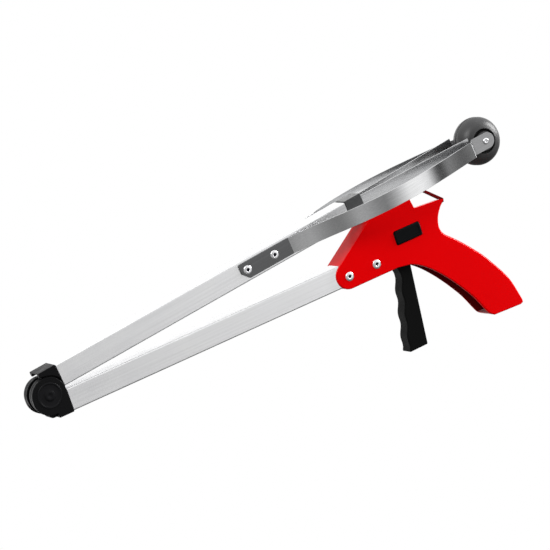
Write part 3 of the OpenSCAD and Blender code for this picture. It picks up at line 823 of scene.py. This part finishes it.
def build_cable():
    """Six strands laid round a core."""
    route = cable_route()
    lay, strand, strands, sides = 9.0, 0.3, 6, 8
    bm = bmesh.new()
    lengths = [0.0]
    for a, b in zip(route, route[1:]):
        lengths.append(lengths[-1] + (b - a).length)
    steps = int(lengths[-1] / 0.6)
    frames = []
    side_on = Vector((0, 1, 0))
    k = 0
    for i in range(steps + 1):
        s = lengths[-1] * i / steps
        while k < len(route) - 2 and lengths[k + 1] < s:
            k += 1
        t = (s - lengths[k]) / (lengths[k + 1] - lengths[k])
        ahead = (route[k + 1] - route[k]).normalized()
        frames.append((s, route[k].lerp(route[k + 1], min(t, 1)), side_on, ahead.cross(side_on)))
    for j in range(strands + 1):
        rows = []
        for s, p, side, up in frames:
            a = math.tau * (s / lay + j / strands)
            off = (CABLE_R - strand) * (math.cos(a) * side + math.sin(a) * up) if j < strands else Vector()
            rows.append(
                [bm.verts.new(p + off + strand * (math.cos(b) * side + math.sin(b) * up))
                 for b in (math.tau * q / sides for q in range(sides))]
            )
        for a, b in zip(rows, rows[1:]):
            for q in range(sides):
                r = (q + 1) % sides
                bm.faces.new((a[q], a[r], b[r], b[q]))
        bm.faces.new(rows[0][::-1])
        bm.faces.new(rows[-1])
    cable = to_object(bm)
    cable.name = cable.data.name = "pull_cable_strands"
    cable.data.transform(SCALE)
    shade(cable)
    cable.data.materials.append(WIRE)
    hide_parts("pull_cable")
    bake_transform(cable)


build_cable()

# ---- upper arm and jaws ----

UP_END = 292.4
STRIP_RIVETS = ((186.5, 0.0), (214.2, 0.0))
ROOT_U, BEND_U, TIP_U, TAB_U, CUP_U = 180.0, 231.0, 418.5, 424.0, 437.5
TIP_Y, TAB_Y, CUP_R, CUP_GAP = 22.9, 15.2, 21.2, 0.6
SAG = math.radians(0.83)  # how much the bowed strips lean down from their roots
JAW = (
    UP
    @ Matrix.Translation((BEND_U, 0, 0))
    @ Matrix.Rotation(SAG, 4, "Y")
    @ Matrix.Translation((-BEND_U, 0, 0))
)
JAW_ROOT_Y = TUBE_HALF + STRIP_T / 2
BLOCK_U, BLOCK_LEN, BLOCK_Y, BLOCK_Z = 293.5, 16.5, 7.8, 9.9
LINK_U, LINK_Y, LINK_R, EYE_R = 306.0, 3.8, 1.1, 2.1
PULL_END, PULL_T = (421.5, 15.6), 0.8

tube(TUBE_START, UP_END, STRIP_RIVETS, UP, "upper_tube_drawn", "upper_tube", UP_METAL)


def ribbon(path, half_widths, thickness, edge=0.22):
    """A strip standing on its edge along a plan-view path, with softened edges."""
    p = [Vector(q) for q in path]
    rings = []
    for i, (q, half) in enumerate(zip(p, half_widths)):
        d = (p[min(i + 1, len(p) - 1)] - p[max(i - 1, 0)]).normalized()
        across = Vector((-d.y, d.x))
        e = min(edge, half * 0.9)
        section = []
        for sa, sz in ((1, 1), (-1, 1), (-1, -1), (1, -1)):
            start = {(1, 1): 0, (-1, 1): 90, (-1, -1): 180, (1, -1): 270}[(sa, sz)]
            for step in (0, 30, 60, 90):
                a = math.radians(start + step)
                off = sa * (thickness / 2 - e) + e * math.cos(a)
                section.append((off, sz * (half - e) + e * math.sin(a)))
        rings.append([(q.x + across.x * off, q.y + across.y * off, z) for off, z in section])
    return skin(rings)


def bow_path():
    """Plan view of the bowed strip from its bend to the far end of its tip."""
    path = curve((BEND_U + 0.25, JAW_ROOT_Y), 0.2, (274, 24), 0.45, 24)
    path += curve((274, 24), 0.45, (337, 38), 0, 30)[1:]
    path += curve((337, 38), 0, (TIP_U, TIP_Y), -0.24, 40)[1:]
    bend_in = [
        path[-1], (TIP_U + 0.7, TIP_Y - 0.7), (TAB_U - 0.8, TAB_Y + 0.8), (TAB_U + 0.2, TAB_Y),
        (TAB_U + 1, TAB_Y),
    ]
    path += spline(bend_in, 3)[1:]
    widths = [STRIP_HALF] * len(path)
    centre = CUP_U + 1.4
    for i in range(19):
        a = math.radians(min(5 * i, 89))
        path.append((centre + STRIP_HALF * math.sin(a), TAB_Y))
        widths.append(STRIP_HALF * math.cos(a))
    return path, widths


def build_strips(side):
    near = side == "near"
    path, widths = bow_path()
    blade = combine(ribbon(path, widths, STRIP_T), ("-", rod(CUP_U, 0, 0, 40, 1.65)))
    # The tab end of the strip carries the darker steel as painted shade.
    paint(blade, STEEL, TAB_STEEL_PAINTED_SHADE, lambda c: c.x > TIP_U - 0.2)
    put(blade, side + "_bow", side + "_strip_blade", JAW, STEEL, 24, near)
    y0 = TUBE_HALF
    plate = fillet(
        [(BEND_U, -STRIP_HALF, 0.1), (BEND_U, STRIP_HALF, 0.1), (ROOT_U + 1, STRIP_HALF, 0.6),
         (ROOT_U, STRIP_HALF - 1, 0.6), (ROOT_U, -1, 0.8), (ROOT_U + 6, -STRIP_HALF, 0.8)], 0.5, 4)
    root = combine(
        prism(plate, y0, y0 + STRIP_T, 0.2, steps=3),
        *[("-", rod(u, z, 0, 20, RIVET_HOLE_R)) for u, z in STRIP_RIVETS],
    )
    put(root, side + "_root", side + "_strip_root", UP, DARK_STEEL, near=near)


def build_pull_strip(side):
    near = side == "near"
    slope = (PULL_END[1] - LINK_Y) / (PULL_END[0] - LINK_U)
    path = [(LINK_U + 1.4, LINK_Y + 0.2)]
    path += [(u, LINK_Y + (u - LINK_U) * slope) for u in range(330, 420, 8)] + [PULL_END]
    strip = combine(
        prism(ring(LINK_U, LINK_Y, EYE_R, 48), -STRIP_HALF, STRIP_HALF, 0.15, steps=2, axis="Z"),
        ("+", ribbon(path, [STRIP_HALF] * len(path), PULL_T, 0.18)),
        ("-", prism(ring(LINK_U, LINK_Y, LINK_R + 0.06, 32), -12, 12, axis="Z")),
    )
    put(strip, side + "_pull_band", side + "_pull_strip", UP, PULL_STEEL, near=near)


def build_block():
    u0, u1 = BLOCK_U, BLOCK_U + BLOCK_LEN
    mouth_y, mouth_z = 6.9, STRIP_HALF + 0.3
    body = combine(
        block((u0, -BLOCK_Y, -BLOCK_Z), (u1, BLOCK_Y, BLOCK_Z), 0.7, 0.7),
        ("-", block((LINK_U - EYE_R - 0.6, -mouth_y, -mouth_z), (u1 + 1, mouth_y, mouth_z), 0, 0.5)),
        ("-", prism(ring(0, -ROD_OFF, 1.2, 32), u0 - 1, u0 + 4, axis="X")),
        *[("-", prism(ring(LINK_U, s * LINK_Y, LINK_R + 0.05, 32), -20, 20, axis="Z")) for s in (-1, 1)],
    )
    put(body, "pull_block_moulding", "pull_block", UP, BLOCK)


def cup_profile():
    """Radius and distance from the centre plane of a rubber cup, with two shallow mould rings."""
    y0, y1 = CUP_GAP / 2, TAB_Y - STRIP_T / 2
    outer = spline(
        [(CUP_R - 1.2, y0), (CUP_R - 0.1, y0 + 0.9), (CUP_R - 0.2, y0 + 3), (CUP_R - 1.2, y0 + 6),
         (CUP_R - 3.2, y0 + 9), (CUP_R - 6.2, y0 + 11.4), (11.4, y0 + 12.9)], 6)
    well = spline(
        [(11.4, y0 + 12.9), (10.5, y0 + 12.8), (9.9, y0 + 11.8), (9.1, y0 + 11.8), (8.6, y1 - 0.6),
         (8.2, y1)], 4)[1:]
    inner = spline([(8.5, y1 - 6), (14, y0 + 5.4), (CUP_R - 3.2, y0 + 1.2), (CUP_R - 1.2, y0)], 5)[:-1]
    return [(1.65, y1 - 6)] + inner + outer + well + [(1.65, y1)]


def build_cup(side):
    near = side == "near"
    cup = revolve(cup_profile(), (CUP_U, 0, 0), n=128)
    # The well round the tab is painted near-black as painted shade.
    paint(cup, CUP, CUP_WELL_PAINTED_SHADE, lambda c: 8.3 < math.hypot(c.x - CUP_U, c.z) < 11.2 and c.y > TAB_Y - 4)
    put(cup, side + "_cup_moulding", side + "_cup", JAW, CUP, 30, near)
    y1 = TAB_Y - STRIP_T / 2 - 6
    face = TAB_Y + STRIP_T / 2
    shank, head = 1.6, 2.9
    profile = [
        (0, y1 - 1.9), (1.9, y1 - 1.85), (2.6, y1 - 1.3), (2.7, y1 - 1.02), (shank, y1 - 1.02), (shank, face),
        (head - 0.05, face), (head, face + 0.25), (head - 0.25, face + 0.62), (head - 0.8, face + 0.92),
        (1.5, face + 1.0), (1.25, face + 0.85), (1.1, face + 0.4), (0, face + 0.35),
    ]
    pin = revolve(profile, (CUP_U, 0, 0), n=64)
    paint(pin, RIVET, HARDWARE, lambda c: math.hypot(c.x - CUP_U, c.z) < 1.2 and c.y > face)
    put(pin, side + "_cup_pin", side + "_cup_rivet", JAW, RIVET, 50, near)


for side in ("near", "far"):
    build_strips(side)
    build_pull_strip(side)
    build_cup(side)
build_block()
rivet(*STRIP_RIVETS[0], TUBE_HALF + STRIP_T, UP, "strip_rivet_1", "jaw_rivet_rear")
rivet(*STRIP_RIVETS[1], TUBE_HALF + STRIP_T, UP, "strip_rivet_2", "jaw_rivet_front")

# ---- the CAD nodes that stay ----

for node in ("trigger_pin", "trigger_spring", "lower_pull_rod", "rod_end_pin", "lower_ferrule",
             "lower_rod_guide", "hinge_pin", "hinge_button_spring", "cable_pulley", "upper_pull_rod",
             "upper_ferrule", "upper_rod_guide", "link_pin_near", "link_pin_far", "near_cup_washer",
             "far_cup_washer"):
    keep = bpy.data.objects[node]
    keep.data.materials.clear()
    keep.data.materials.append(SLOT_LOOK[SLOT_OF[node]])

# ---- camera, lights and floor ----

CAMERA_AT = Vector((-0.941, -1.795, 0.4309))
CAMERA_TO = Vector((-0.1589, 0.0, 0.0232))
CAMERA_ROLL = -0.33042
CAMERA_LENS = 155.4


def add_camera():
    data = bpy.data.cameras.new("camera")
    data.lens, data.sensor_width = CAMERA_LENS, 36.0
    data.clip_start, data.clip_end = 0.05, 50
    cam = bpy.data.objects.new("camera", data)
    back = (CAMERA_AT - CAMERA_TO).normalized()
    right0 = Vector((0, 0, 1)).cross(back).normalized()
    up0 = back.cross(right0)
    c, s = math.cos(CAMERA_ROLL), math.sin(CAMERA_ROLL)
    right, up = c * right0 + s * up0, -s * right0 + c * up0
    turn = Matrix((right, up, back)).transposed().to_4x4()
    cam.matrix_world = Matrix.Translation(CAMERA_AT) @ turn
    bpy.context.scene.collection.objects.link(cam)
    bpy.context.scene.camera = cam


def add_area(name, at, to, size, power, colour=(1, 1, 1)):
    data = bpy.data.lights.new(name, "AREA")
    data.shape, data.size, data.size_y = "RECTANGLE", size[0], size[1]
    data.energy, data.color = power, colour
    lamp = bpy.data.objects.new(name, data)
    lamp.location = at
    lamp.rotation_mode = "QUATERNION"
    lamp.rotation_quaternion = (Vector(at) - Vector(to)).to_track_quat("Z", "Y")
    bpy.context.scene.collection.objects.link(lamp)


# Brightness of the studio round the object, by angle from -Y towards -X, and by height. These bands
# were set so that the bowed steel is shaded as in the photograph; the real lights are unknown.
STUDIO_ROUND = (
    (-180, 1.7), (-140, 1.5), (-100, 0.8), (-64, 0.08), (-57, 0.06), (-56.3, 0.3), (-55.3, 0.85),
    (-54.4, 0.1), (-50.5, 0.08), (-49, 0.4), (-45, 1.35), (-38, 1.52), (-29, 1.4), (-20, 0.8),
    (-15, 0.5), (-10, 0.34), (-5, 0.4), (4, 0.56), (10, 0.6), (16, 0.42), (22, 0.3), (60, 0.5),
    (110, 0.9), (140, 1.5), (180, 1.7),
)
STUDIO_HEIGHT = ((-1.0, 0.1), (-0.5, 0.22), (-0.3, 0.4), (0.3, 0.6), (0.5, 0.75), (0.75, 1.25), (1.0, 1.3))
BAND_TOP = 0.42  # the bands fade out above and below this height


def add_world():
    """White for the camera; soft boxes and dark flags round the object for everything else."""
    world = bpy.data.worlds.new("studio")
    bpy.context.scene.world = world
    world.use_nodes = True
    tree = world.node_tree
    new, link = tree.nodes.new, tree.links.new
    background = tree.nodes["Background"]
    coords = new("ShaderNodeTexCoord")
    split = new("ShaderNodeSeparateXYZ")
    link(coords.outputs["Generated"], split.inputs[0])

    def maths(operation, *values):
        node = new("ShaderNodeMath")
        node.operation = operation
        for socket, value in zip(node.inputs, values):
            if isinstance(value, bpy.types.NodeSocket):
                link(value, socket)
            else:
                socket.default_value = value
        return node.outputs[0]

    def steps(factor, stops, low, high):
        ramp = new("ShaderNodeValToRGB")
        link(factor, ramp.inputs[0])
        elements = ramp.color_ramp.elements
        while len(elements) < len(stops):
            elements.new(0.5)
        for element, (at, value) in zip(elements, stops):
            element.position = (at - low) / (high - low)
            element.color = (value, value, value, 1)
        return ramp.outputs[0]

    minus_x, minus_y = (maths("MULTIPLY", split.outputs[i], -1.0) for i in (0, 1))
    round_angle = maths("ARCTAN2", minus_x, minus_y)
    round_factor = maths("MULTIPLY_ADD", round_angle, 1 / math.tau, 0.5)
    height_factor = maths("MULTIPLY_ADD", split.outputs[2], 0.5, 0.5)
    bands = steps(round_factor, STUDIO_ROUND, -180, 180)
    levels = steps(height_factor, STUDIO_HEIGHT, -1, 1)
    fade = maths("SUBTRACT", 1.0, maths("DIVIDE", maths("ABSOLUTE", split.outputs[2]), BAND_TOP))
    fade = maths("MULTIPLY", fade, 3.0)
    fade = maths("MINIMUM", maths("MAXIMUM", fade, 0.0), 1.0)
    mix = new("ShaderNodeMix")
    mix.data_type = "RGBA"
    link(fade, mix.inputs[0])
    link(levels, mix.inputs[6])
    link(bands, mix.inputs[7])
    seen = new("ShaderNodeMix")
    seen.data_type = "RGBA"
    link(new("ShaderNodeLightPath").outputs["Is Camera Ray"], seen.inputs[0])
    link(mix.outputs[2], seen.inputs[6])
    seen.inputs[7].default_value = (1, 1, 1, 1)
    link(seen.outputs[2], background.inputs["Color"])


FLOOR_DROP, FLOOR_HALF = 0.55, 0.9


def add_floor():
    """A plain white floor well below the tool, which only the camera sees."""
    low, high = CAD_BOX
    mid = (Vector(low) + Vector(high)) / 2
    z = Vector(low).z - FLOOR_DROP
    bm = bmesh.new()
    corners = box_outline(mid.x - FLOOR_HALF, mid.y - FLOOR_HALF, mid.x + FLOOR_HALF, mid.y + FLOOR_HALF)
    bm.faces.new([bm.verts.new((x, y, z)) for x, y in corners])
    floor = to_object(bm, "floor")
    n = Nodes("floor_white")
    n.surface(
        Base_Color=(0, 0, 0, 1),
        Specular_IOR_Level=0.0,
        Emission_Color=(1, 1, 1, 1),
        Emission_Strength=1.0,
    )
    floor.data.materials.append(n.material)
    floor.visible_diffuse = floor.visible_glossy = floor.visible_shadow = False


add_camera()
add_world()
bpy.context.scene.view_settings.view_transform = "Standard"
add_area("key", (-1.0, -1.2, 1.5), (-0.15, 0, 0), (1.0, 0.8), 16)
add_area("cup_light", (1.25, -0.25, 0.28), (0.07, 0, 0.06), (0.5, 0.6), 22)
add_floor()
